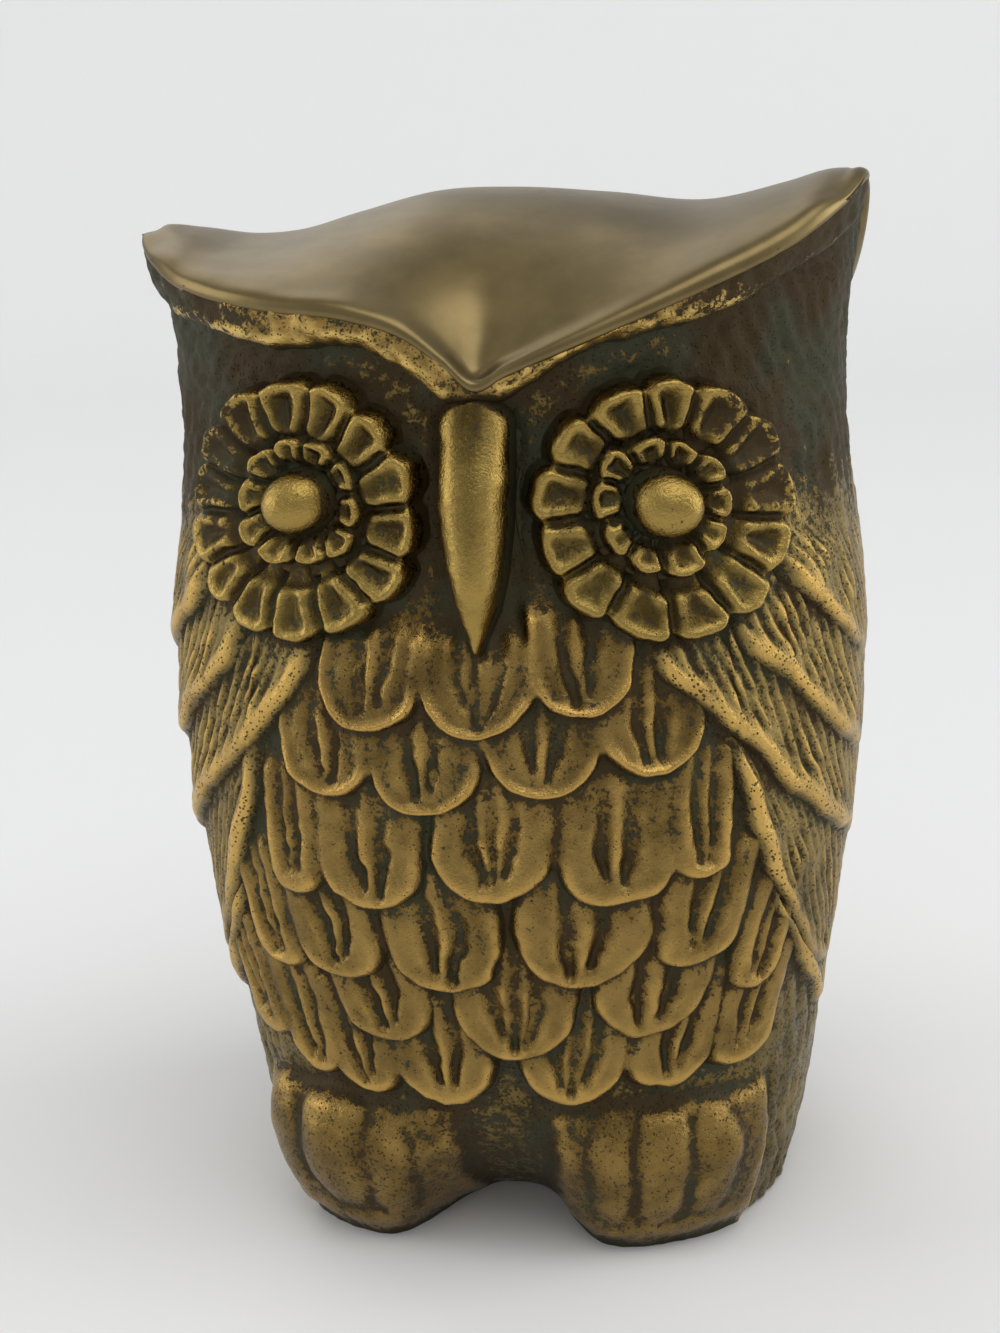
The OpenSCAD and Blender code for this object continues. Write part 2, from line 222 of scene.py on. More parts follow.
# pupilDarkening darkens each pupil; the right pupil's larger value is painted shade
eyes = {
    "right": {"angle": 33.5, "z": 93.4, "petals": 13, "turn": 0.20, "seed": 21, "inside": (-0.5, 0.6),
              "pupilRadius": 3.6, "pupilDarkening": 0.26},
    "left": {"angle": -34.5, "z": 93.3, "petals": 14, "turn": 0.35, "seed": 26, "inside": (1.0, 1.3),
             "pupilRadius": 3.45, "pupilDarkening": 0.20},
    "radius": 14.8, "rise": 2.5, "scallop": 1.2, "bowlDeep": 1.0, "rimWide": 1.6,
    "irisRadius": 7.9, "irisPetals": 10, "irisRise": 2.7, "irisBowl": 0.75,
    "pupilBase": 1.7,
}


def eyeCoords(eye, angle, z, inside=False, unsteady=1.0):
    # distance and bearing from the eye's middle, measured along the body
    angle, z = stray(angle, z, eye["seed"], 0.45 * unsteady, 0.18 * unsteady)
    right, up = eye["inside"] if inside else (0, 0)
    u = along(angle, eye["z"]) - along(eye["angle"], eye["z"]) - right
    v = z - eye["z"] - up
    return np.hypot(u, v), np.arctan2(v, u)


def petalForm(r, turn, count, inner, outer, rise, scallop, deep, rimWide, seed):
    # a ring of spoon-shaped petals: a rounded rim round a hollow, a groove between neighbours, a scalloped edge.
    # t runs from -1 to 1 across a petal, and the outline falls back by scallop |t|^2.6
    t = 2 * ((turn / (2 * np.pi) * count) % 1 - 0.5)
    number = np.floor(turn / (2 * np.pi) * count).astype(int) % count
    jitter = np.random.default_rng(seed).uniform(-1, 1, (count, 4))[number]
    halfWide = np.pi * r / count
    beside = halfWide * (1 - np.abs(t))
    edge = outer + 0.35 * jitter[..., 1] - scallop * np.abs(t) ** 2.6
    share = clip((r - inner) / (outer - inner))
    tilt = rise * (0.66 + 0.34 * share + 0.05 * jitter[..., 2])
    h = tilt * rounded((edge - r) / 0.9) - np.where(r > edge, 4 * (r - edge), 0)
    inside = np.minimum(edge - r, beside + 0.35 * jitter[..., 0] * t)
    bowl = ease(inside, rimWide * 0.5, rimWide * 1.9) * ease(share, 0.02, 0.3)
    depth = deep * (1 + 0.28 * np.sin(turn) + 0.22 * jitter[..., 3])
    h = h - depth * bowl
    groove = np.exp(-(beside / (0.30 + 0.12 * rimWide)) ** 2) * np.where(r < edge, ease(edge - r, 0.1, 1.0), 0)
    return h - 0.42 * rise * groove - 0.42 * rise * (1 - ease(r, inner - 0.4, inner + 1.2))


def petalHeight(eye, angle, z):
    r, turn = eyeCoords(eye, angle, z)
    h = petalForm(r, turn + eye["turn"], eye["petals"], 8.3, eyes["radius"], eyes["rise"], eyes["scallop"],
                  eyes["bowlDeep"], eyes["rimWide"], eye["seed"])
    fine, coarse = valueNoise(angle, z, eye["seed"], 1.1), valueNoise(angle, z, eye["seed"] + 1, 2.7)
    return h + 0.10 * fine + 0.08 * coarse


def irisHeight(eye, angle, z):
    r, turn = eyeCoords(eye, angle, z, True)
    h = petalForm(r, turn + 0.4, eyes["irisPetals"], 4.3, eyes["irisRadius"], eyes["irisRise"], 0.75,
                  eyes["irisBowl"], 0.95, eye["seed"] + 5)
    return h + 0.09 * valueNoise(angle, z, eye["seed"] + 9, 0.9)


def pupilHeight(eye, angle, z):
    # a dome on a low seat: height = base + sqrt(R^2 - r^2)
    r, turn = eyeCoords(eye, angle, z, True, 0.15)
    big = eye["pupilRadius"]
    dome = np.sqrt(clip(big * big - r * r, 0, np.inf))
    return eyes["pupilBase"] + dome * 0.92 - np.where(r > big, 3 * (r - big), 0)


beak = {"top": 106.3, "length": 28.0, "halfWide": 4.1, "out": 6.0, "middle": -0.3}


def beakHeight(angle, z):
    # a long ridge: its section is a flattened dome, its width tapers to the tip and it dips in at both ends
    angle, z = stray(angle, z, 33, 0.2, 0.10)
    f = (beak["top"] - z) / beak["length"]
    g = clip(f)
    s = along(angle, 95.0) - beak["middle"]
    ends = rounded(g / 0.12)
    half = beak["halfWide"] * ends * (1 - 0.93 * g ** 3.2) + 0.02
    rise = beak["out"] * (0.50 + 0.50 * ease(g, 0.0, 0.40)) * (1 - 0.55 * ease(g, 0.66, 1.0))
    w = np.abs(s) / half
    dome = clip(1 - w ** 2.7) ** 0.62
    lump = 0.10 * valueNoise(angle * 0.6, z, 31, 1.3) * (ease(w, 0.5, 0.8) + 1.2 * ease(g, 0.5, 0.7))
    h = (rise + lump) * dome - np.where(w > 1, 4 * (np.abs(s) - half), 0)
    return h - 5 * clip(-f * beak["length"], 0, np.inf) - 5 * clip((f - 1) * beak["length"], 0, np.inf)


brow = {
    "out": 3.6,                # how far the band stands out of the face
    "lowEdge": [(-84, 119), (-74, 116), (-60, 113.5), (-44, 111.5), (-24, 111.5), (-12, 108.3), (-6, 105.3),
                (0, 104.6), (6, 105.3), (16, 109), (24, 111), (45, 114), (60, 117.5), (74, 121), (84, 123)],
}


def browOut(angle):
    # 0.3 + 0.7 cos^0.5 of the share of the way from the beak to the ears
    share = clip(np.abs(angle), 0, earAt) * 90 / earAt
    return brow["out"] * (0.3 + 0.7 * clip(np.cos(np.radians(share))) ** 0.5)


def browHeight(angle, z):
    # a band of rough metal: rounded at its lower edge, and fullest at the crown's edge above it
    moved, low = stray(angle, z, 44, 0.5, 0.2)
    d = low - smoothCurve(brow["lowEdge"], moved)
    size = np.maximum(rimHeight(angle) - smoothCurve(brow["lowEdge"], angle), 1.0)
    full = browOut(angle) * (0.70 + 0.24 * clip(d / size))
    h = full * rounded(d / 2.2) - np.where(d < 0, -4 * d, 0)
    s = along(angle, 110.0)
    rough = 0.24 * valueNoise(s, z, 41, 1.3) + 0.16 * valueNoise(s, z, 42, 0.62)
    return h + rough * clip(d / 1.5) * (1 - 0.6 * ease(d / size, 0.8, 1.0))


# the breast feathers by row: angle of the middle, height of the lower edge, half width in mm
breastRows = [
    [(-19.8, 69.3, 6.1), (-0.8, 68.8, 6.6), (16.8, 71, 5.9)],
    [(-28, 61.3, 5.4), (-10.8, 59.4, 6.5), (9.8, 62.0, 6.8), (27.8, 64, 5.8)],
    [(-34.8, 48.8, 3.6), (-21, 47.8, 6.5), (0.8, 49.3, 7.1), (21.6, 48.5, 6.7), (35.2, 51.0, 3.8)],
    [(-40, 38.4, 3.8), (-27.8, 38.4, 5.8), (-9, 37.5, 7.2), (14.8, 38.2, 7.9), (34.2, 40.0, 5.8),
     (45.5, 35.0, 4.0)],
    [(-48, 27.5, 4.0), (-36.5, 24.2, 5.0), (-21, 29.8, 6.6), (3, 28.4, 8.0), (27, 31.2, 7.4),
     (44, 25.2, 5.4)],
    [(-27, 22.5, 5.0), (-11.5, 21.8, 6.9), (13.5, 22.3, 7.4), (31, 23.5, 5.4)],
]
scale = {
    "rise": 2.15, "border": 2.1, "slotDeep": 1.15, "slotWide": 0.74, "tall": 17.0,
    "dish": (0.95, 0.8, 0.3, 0.15, 0.1, 0.1),      # how hollow the scales of each row are
}
backScales = [[(158.5, 88, 6.6), (180, 87.5, 7.1), (201.5, 88.2, 6.5)],
              [(153.5, 88, 4.2), (169.5, 88, 6.9), (190.5, 87.6, 6.7), (206.5, 88, 4.2)]]
backRows = [[(angle, low - 11 * k, half) for angle, low, half in backScales[k % 2]] for k in range(6)]


def oneFeather(angle, z, place, zRef, seed, dish, tall):
    # a rounded scale: a smooth border, two slots that close on a rib between them, and a rise to its lower edge.
    # its outline is all points within half of a line up its middle
    middle, low, half = place
    s0 = along(middle, zRef)
    lean = 0.011 * (s0 if abs(middle) < 90 else 0) * (1 if low < 45 else 0.3)
    x = along(angle, zRef) - s0 - lean * (z - low)
    d = z - low
    e = half - np.hypot(x, clip(half - d, 0, np.inf))
    lip = rounded(e / (0.55 + 1.1 * ease(d, 0.35 * half, 1.1 * half)))
    climb = 1 - 0.52 * ease(d, 1.0, 15.0)
    h = scale["rise"] * climb * lip * (1 - 0.14 * (x / half) ** 2) - np.where(e < 0, -3.5 * e, 0)
    border = scale["border"] * (0.55 if dish > 0.3 else 1.0)
    h = h - dish * ease(e, border - 0.9, border + 0.7)
    size = half / 7.2
    three = seed % 3 == 1 and half > 6.5
    ragged = 0.30 * valueNoise(x + 17 * seed, d, 53, 0.9)
    ragged = ragged + 0.35 * valueNoise(d + 9 * seed, 0 * d + seed, 51, 4.0)
    cut = 0 * h
    for n, k in enumerate((-1, 0, 1) if three else (-1, 1)):
        end = 2.7 + 0.8 * math.sin(seed * 2.3 + n * 1.7) + 0.5 * abs(k) * three
        away = (2.45 if three else 1.75) * k * (0.50 + 0.50 * ease(d, end - 1, end + 5)) * size
        wide = scale["slotWide"] * size * (0.45 + 0.75 * ease(d, end, end + 3.5))
        gone = np.hypot(x - away + 0.5 * ragged, clip(end - d, 0, np.inf))
        cut = np.maximum(cut, 1 - ease(gone + 0.5 * ragged, 0.25 * wide, 1.5 * wide + 0.15))
    h = h - scale["slotDeep"] * clip(climb + 0.1) * cut * ease(e, 0.5, 1.6)
    return sinkOut(h, 1 - ease(d, tall - 2.5, tall + 1.0))


def rowHeight(rows, k, angle, z, zRef):
    s = along(angle, zRef)
    grain = 0.07 * valueNoise(s, z, 61 + k, 1.1) + 0.12 * valueNoise(s, z, 71 + k, 3.6)
    angle, z = stray(angle, z, 130 + k, 0.5, 0.16)
    h = np.full(np.broadcast(angle, z).shape, -9.0)
    tall = scale["tall"] if k else 12.5 if rows is breastRows else 10.5
    for n, place in enumerate(rows[k]):
        h = np.maximum(h, oneFeather(angle, z, place, zRef, 7 * k + n, scale["dish"][k], tall))
    return h + grain


# wing feathers from the shoulder down: start angle, start height, height at the flank, bend
ridges = [(60, 93, 85, 1.0), (52, 83.5, 69, 1.4), (42, 78.5, 57.5, 1.6), (28, 77, 46, 1.5),
          (39.0, 67.0, 31, 3.0), (47, 47.5, 23.5, 1.7)]
wing = {
    "flank": 84.0, "back": 148.0, "tipRound": 9.0,     # angles
    "rise": 1.35, "cord": 0.28, "cordWide": 1.5,       # the feather, and the raised edge along it
    "barbGap": 2.35, "barbDeep": 1.32, "shear": 0.50,
}


def ridgeHeight(k, angle):
    start, high, low, bend = ridges[k]
    ahead = clip((wing["flank"] - angle) / (wing["flank"] - start), 0, np.inf)
    behind = low - 0.10 * (angle - wing["flank"])
    return np.where(angle >= wing["flank"], behind, low + (high - low) * ahead ** bend)


def wingBand(k, angle, z, side):
    # feather k, whose lower edge is ridge k: a smooth border, then slanting barbs up to the feather above
    angle, z = stray(angle * side, z, 140 + 5 * k + side, 0.6, 0.18)
    start = ridges[k][0]
    safe = np.maximum(angle, start)
    low = ridgeHeight(k, safe)
    high = np.where(angle < ridges[k - 1][0], ridges[k - 1][1] + 3.0, ridgeHeight(k - 1, angle))
    zMid, before, after = 55.0, np.maximum(safe - 0.5, start), safe + 0.5
    s = along(angle, zMid)
    slope = (ridgeHeight(k, after) - ridgeHeight(k, before)) / (along(after, zMid) - along(before, zMid))
    flat = 1 / np.sqrt(1 + clip(slope, -6, 6) ** 2)
    d = (z - low) * flat
    wide = np.maximum((high - low) * flat, 2.0)
    climb = 1 - 0.62 * ease(d, 1.5, np.maximum(wide, 4.0))
    cord = wing["cord"] * np.exp(-((d - 1.1 * wing["cordWide"]) / wing["cordWide"]) ** 2)
    full = 1 - 0.72 * ease(angle, 62, 84) + 0.5 * ease(angle, 98, 122)
    h = (wing["rise"] * climb + cord) * full * rounded(d / 1.3) - np.where(d < 0, -1.6 * d, 0)
    wander = 0.8 * valueNoise(s + 31 * k, z, 81 + k, 7.0) + 0.14 * valueNoise(s, z, 181 + k, 1.8)
    g = (s + wing["shear"] * d / flat + wander) / wing["barbGap"]
    barb = (0.5 + 0.5 * np.cos(2 * np.pi * g)) ** 1.3
    inside = ease(d, 1.6, 3.4)
    strong = clip(0.85 + 0.35 * valueNoise(s, z, 91 + k, 4.0)) * (1 - 0.35 * ease(angle, 66, 82))
    h = h - wing["barbDeep"] * barb * inside * strong + 0.22 * inside
    over = clip(z - high - 1.0, 0, np.inf)
    h = h - 2.0 * over + 0.08 * valueNoise(s, z, 95, 1.0) + 0.10 * valueNoise(s, z, 96, 3.0)
    # the tip behind is rounded, and has a raised edge like the lower one
    tip = wing["back"] - wing["tipRound"] * (1 - np.sqrt(clip(1 - 0.98 * (2 * clip(d / wide) - 1) ** 2)))
    h = h + 0.6 * np.exp(-((angle - tip + 4.0) / 2.0) ** 2) * (d > -1)
    keep = ease(angle, start - 1.5, start + 5.0) * (1 - ease(angle, tip - 3, tip - 0.8))
    return sinkOut(h, keep * (1 - ease(z, 85, 92) * (k == 1)), 1.2)


feet = {
    # toes: angle, half width, rise, height of the middle, half height
    "left": {"middle": -36.0, "half": 15.5, "seed": 101, "toes": [
        (-51, 3.6, 0.9, 12.5, 8.0), (-37.5, 4.8, 1.5, 14.0, 8.5), (-26.5, 2.9, 1.0, 12.0, 7.5),
        (-18, 2.3, 0.4, 10, 6.0)]},
    "right": {"middle": 33.5, "half": 15.5, "seed": 102, "toes": [
        (13.8, 2.0, 0.6, 11.5, 7.0), (20.8, 2.5, 1.0, 12.5, 7.5), (31, 3.5, 1.3, 13, 8.2),
        (41.5, 3.3, 1.1, 13, 8.0)]},
    "rise": 2.7, "top": 25.0,
}


def footHeight(foot, angle, z):
    # a rounded lobe, (1 - |x/a|^3)^0.5 across, carrying long toes that are domes (1 - |u|^2.6 - |v|^2.6)^0.5
    s = along(angle, 12.0)
    rough = valueNoise(s, z, foot["seed"], 0.9)
    angle, z = stray(angle, z, foot["seed"] + 3, 0.5, 0.14)
    x = along(angle, 12.0) - along(foot["middle"], 12.0)
    lobe = clip(1 - np.abs(x / foot["half"]) ** 3) ** 0.5
    swell = feet["rise"] * lobe * (0.35 + 0.65 * ease(z, 0.0, 4.0)) * (1 - ease(z, 13, feet["top"]))
    bumps = 0 * z
    for middle, half, rise, high, tall in foot["toes"]:
        u = (along(angle, 12.0) - along(middle, 12.0)) / half
        dome = clip(1 - np.abs(u) ** 2.6 - np.abs((z - high) / tall) ** 2.6) ** 0.5
        bumps = softMax(bumps, 1.2 * rise * dome, 0.6)
    h = swell + bumps + 0.16 * rough * (1 - 0.8 * clip(bumps))
    return sinkOut(h, (1 - ease(np.abs(x), foot["half"] - 3.5, foot["half"] + 0.3)) * (1 - ease(z, 19.5, 24)))


tail = {"half": 18.5, "quills": 5, "top": 34.0, "rise": 2.2}


def tailHeight(angle, z):
    # long quills side by side, rounded at the lower end, with fine barbs
    angle, z = stray(angle, z, 113, 0.3, 0.12)
    x = along(angle, 20.0) - along(180.0, 20.0)
    t = (x / (2 * tail["half"]) * tail["quills"]) % 1 - 0.5
    quill = clip(1 - np.abs(2 * t) ** 3) ** 0.7
    h = 0.5 + tail["rise"] * (0.35 + 0.65 * quill) * (1 - 0.5 * ease(z, 12, 30))
    barb = (0.5 + 0.5 * np.cos(2 * np.pi * (z - 11 * np.abs(t)) / 2.1)) ** 1.5
    h = h - 0.35 * barb * ease(np.abs(t), 0.05, 0.14) * (1 - ease(np.abs(t), 0.36, 0.45))
    h = h + 0.08 * valueNoise(x + 60, z, 111, 1.2)
    keep = 1 - ease(np.abs(x), tail["half"] - 1.6, tail["half"] - 0.2)
    return sinkOut(h, keep * (1 - ease(z, tail["top"] - 3, tail["top"])))


def wholeRelief(angle, z):
    # the highest form over each point, for working out where grime gathers and where hands rub
    h = groundHeight(angle, z)
    for side in ("left", "right"):
        eye = eyes[side]
        for form in (petalHeight, irisHeight, pupilHeight):
            h = np.maximum(h, form(eye, angle, z))
        h = np.maximum(h, footHeight(feet[side], angle, z))
    h = np.maximum(h, np.where(np.abs(angle) < 40, beakHeight(angle, z), -9))
    h = np.maximum(h, np.where(np.abs(angle) < 84, browHeight(angle, z), -9))
    for k in range(len(breastRows)):
        h = np.maximum(h, np.where(np.abs(angle) < 60, rowHeight(breastRows, k, angle, z, 50.0), -9))
    turned = angle % 360
    for k in range(len(backRows)):
        h = np.maximum(h, np.where(np.abs(turned - 180) < 46, rowHeight(backRows, k, turned, z, 50.0), -9))
    h = np.maximum(h, np.where(np.abs(turned - 180) < 50, tailHeight(turned, z), -9))
    for k in range(1, len(ridges)):
        for side in (1, -1):
            inside = (angle * side > ridges[k][0] - 2) & (angle * side < wing["back"])
            h = np.maximum(h, np.where(inside, wingBand(k, angle, z, side), -9))
    return h


def blur(h, rows, columns):
    # three running means, close to a bell curve; columns wrap round the body
    for _ in range(3):
        p = np.pad(h, ((rows, rows), (0, 0)), mode="edge")
        c = np.cumsum(np.pad(p, ((1, 0), (0, 0))), 0)
        h = (c[2 * rows + 1:] - c[:-2 * rows - 1]) / (2 * rows + 1)
        p = np.pad(h, ((0, 0), (columns, columns)), mode="wrap")
        c = np.cumsum(np.pad(p, ((0, 0), (1, 0))), 1)
        h = (c[:, 2 * columns + 1:] - c[:, :-2 * columns - 1]) / (2 * columns + 1)
    return h


def soften(h, wrap=False):
    # wear: two running means over three points each way round the edges of every form
    for _ in range(2):
        p = np.pad(h, ((1, 1), (0, 0)), mode="edge")
        h = (p[:-2] + p[1:-1] + p[2:]) / 3
        p = np.pad(h, ((0, 0), (1, 1)), mode="wrap" if wrap else "edge")
        h = (p[:, :-2] + p[:, 1:-1] + p[:, 2:]) / 3
    return h


mapStep = {"angle": 0.5, "z": 0.33}
mapAngles = np.arange(-180, 180, mapStep["angle"])
mapHeights = np.arange(0, 127.5, mapStep["z"])
gridAngle, gridZ = np.meshgrid(mapAngles, mapHeights)
relief = np.maximum(wholeRelief(gridAngle, gridZ), -1.0)
reliefNear = blur(relief, 2, 2)      # about 1 mm round
reliefWide = blur(relief, 6, 6)      # about 4 mm round
print("relief worked out", relief.shape)


def sample(field, angle, z):
    # linear between the map's four nearest points
    x = ((angle + 180) % 360) / mapStep["angle"]
    y = clip(z / mapStep["z"], 0, field.shape[0] - 1.001)
    i, j = np.floor(y).astype(int), np.floor(x).astype(int)
    v, u = y - i, x - j
    j, k = j % field.shape[1], (j + 1) % field.shape[1]
    low, high = field[i, j] * (1 - u) + field[i, k] * u, field[i + 1, j] * (1 - u) + field[i + 1, k] * u
    return low * (1 - v) + high * v


# darkening over a whole region, added to what its relief gives; low on the front between the feet it is painted
# shade, and the share taken off on the left of the brow band is painted light
darkening = {"face": 0.08, "temple": 0.80, "paintedShadeBelly": 0.30, "paintedLightBrowLeft": 0.28, "breast": 0.18, "back": 0.42}


def darkeningByRegion(angle, z):
    turned = signed(angle)
    side, up = np.abs(turned), z - rimHeight(turned)
    f = darkening["face"] * ease(z, 74, 86) * (1 - ease(up, -3.0, -1.0)) * (1 - ease(side, 48, 62))
    f = f + darkening["temple"] * ease(side, 34, 54) * ease(z, 84, 100) * (1 - ease(up, -2.0, 0.5))
    # painted shade under the body between the feet, low on the front
    f = f + darkening["paintedShadeBelly"] * (1 - ease(side, 12, 20)) * ease(z, 1, 5) * (1 - ease(z, 18, 24))
    f = f + darkening["breast"] * (1 - ease(side, 40, 50)) * ease(z, 48, 70) * (1 - ease(z, 74, 82))
    # painted light: the brow band near the crown's edge is made lighter on the left side only
    f = f - darkening["paintedLightBrowLeft"] * ease(up, -6.5, -4.0) * (turned < 0) * (side < 80)
    return f + darkening["back"] * ease(side, 100, 130)


def gridFaces(rows, columns, first, flip, wrap=False):
    # four corners of each cell of a grid of points, anticlockwise from outside unless flipped
    i = np.arange(rows - 1)[:, None] * columns
    j = np.arange(columns if wrap else columns - 1)[None, :]
    k = (j + 1) % columns
    faces = np.stack([i + j, i + k, i + columns + k, i + columns + j], -1).reshape(-1, 4) + first
    return faces[:, ::-1] if flip else faces


def borderOf(rows, columns):
    # point numbers round a grid's edge and back to the first, anticlockwise from outside
    n = np.arange(rows * columns).reshape(rows, columns)
    return [*n[0, :-1].tolist(), *n[:-1, -1].tolist(), *n[-1, :0:-1].tolist(), *n[::-1, 0].tolist()]


def patchParts(angle, z, height, under, stride):
    # a closed slab: the carved face on a fine grid, a plain back on every stride-th point, and a wall between
    outer = wallPoint(angle, z, height)
    backAngle, backZ = angle[::stride, ::stride], z[::stride, ::stride]
    under = under(backZ) if callable(under) else under
    inner = wallPoint(backAngle, backZ, under + 0 * backZ)
    rows, columns = angle.shape
    r, c = backAngle.shape
    points = np.concatenate([outer.reshape(-1, 3), inner.reshape(-1, 3)])
    faces = gridFaces(rows, columns, 0, False).tolist() + gridFaces(r, c, rows * columns, True).tolist()
    fine, coarse = borderOf(rows, columns), borderOf(r, c)
    for n in range(len(coarse) - 1):
        top = fine[n * stride:(n + 1) * stride + 1]
        faces.append(top[::-1] + [coarse[n] + rows * columns, coarse[n + 1] + rows * columns])
    kept = np.concatenate([np.stack([angle, z, height], -1).reshape(-1, 3),
                           np.stack([backAngle, backZ, under + 0 * backZ], -1).reshape(-1, 3)])
    return points, faces, kept


def fan(centre, first, second):
    # triangles from one point to a ring
    return np.stack([np.full(len(first), centre), first, second], -1).tolist()


def discParts(angle, z, height, under, middle):
    # the same for rings of points round a pole: row 0 is the innermost ring, and columns wrap
    rows, columns = angle.shape
    outer, inner = wallPoint(angle, z, height), wallPoint(angle[-1], z[-1], under + 0 * z[-1])
    ends = [middle, (*middle[:2], under)]
    pole, foot = (wallPoint(*np.array(end)[:, None]) for end in ends)
    n = rows * columns
    points = np.concatenate([outer.reshape(-1, 3), inner, pole, foot])
    j = np.arange(columns)
    k = (j + 1) % columns
    faces = gridFaces(rows, columns, 0, True, True).tolist()
    faces += fan(n + columns, j, k) + fan(n + columns + 1, n + k, n + j)
    last = (rows - 1) * columns
    faces += np.stack([last + k, last + j, n + j, n + k], -1).tolist()
    kept = np.concatenate([np.stack([angle, z, height], -1).reshape(-1, 3),
                           np.stack([angle[-1], z[-1], under + 0 * z[-1]], -1), ends])
    return points, faces, kept


def makePiece(name, parts, material, pit, extraDarkening=0.0, hollowShare=1.0):
    # joins closed parts into one object in metres, and paints how hidden, how rubbed and how rough each point is;
    # hidden also carries the regional darkening, with its painted shade and painted light
    points, faces, kept, start = [], [], [], 0
    for p, f, k in parts:
        points.append(p)
        faces += [[v + start for v in face] for face in f]
        kept.append(k)
        start += len(p)
    points, kept = np.concatenate(points), np.concatenate(kept)
    mesh = bpy.data.meshes.new(name)
    mesh.from_pydata((points * mm).tolist(), [], faces)
    mesh.update()
    angle, z, h = kept.T
    near, wide = sample(reliefNear, angle, z), sample(reliefWide, angle, z)
    sunk = clip(0.75 * (near - h) / 0.7, -0.4, 1) + clip(0.6 * (wide - h) / 1.6, -0.4, 0.8)
    values = {
        "hidden": hollowShare * sunk + extraDarkening + darkeningByRegion(angle, z),
        "rubbed": clip((h - near) / 0.5) * 0.7 + clip((h - wide) / 1.4) * 0.6,
        "pit": pit(angle, z, h) if callable(pit) else np.full(len(z), pit),
    }
    for key, value in values.items():
        layer = mesh.attributes.new(key, "FLOAT", "POINT")
        layer.data.foreach_set("value", clip(value, -1, 2).astype(np.float32))
    mesh.polygons.foreach_set("use_smooth", np.ones(len(mesh.polygons), bool))
    mesh.materials.append(material)
    obj = bpy.data.objects.new(name + "_brass", mesh)
    bpy.context.scene.collection.objects.link(obj)
    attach(obj, "root")
    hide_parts(name)
    print("made", name, len(points), "points")


def spread(low, high, step, multiple):
    # evenly spaced numbers, with a count of gaps that the back's coarser grid divides
    count = max(1, math.ceil((high - low) / step / multiple)) * multiple
    return np.linspace(low, high, count + 1)


def linear(code):
    # sRGB hex to linear colour
    c = np.array([int(code[i:i + 2], 16) / 255 for i in (1, 3, 5)])
    return (*np.where(c <= 0.04045, c / 12.92, ((c + 0.055) / 1.055) ** 2.4), 1.0)


def addNode(tree, kind, settings=None, inputs=None):
    # one node with its settings, and its inputs as values or links
    node = tree.nodes.new(kind)
    for key, value in (settings or {}).items():
        setattr(node, key, value)
    for key, value in (inputs or {}).items():
        if isinstance(value, bpy.types.NodeSocket):
            tree.links.new(value, node.inputs[key])
        else:
            node.inputs[key].default_value = value
    return node


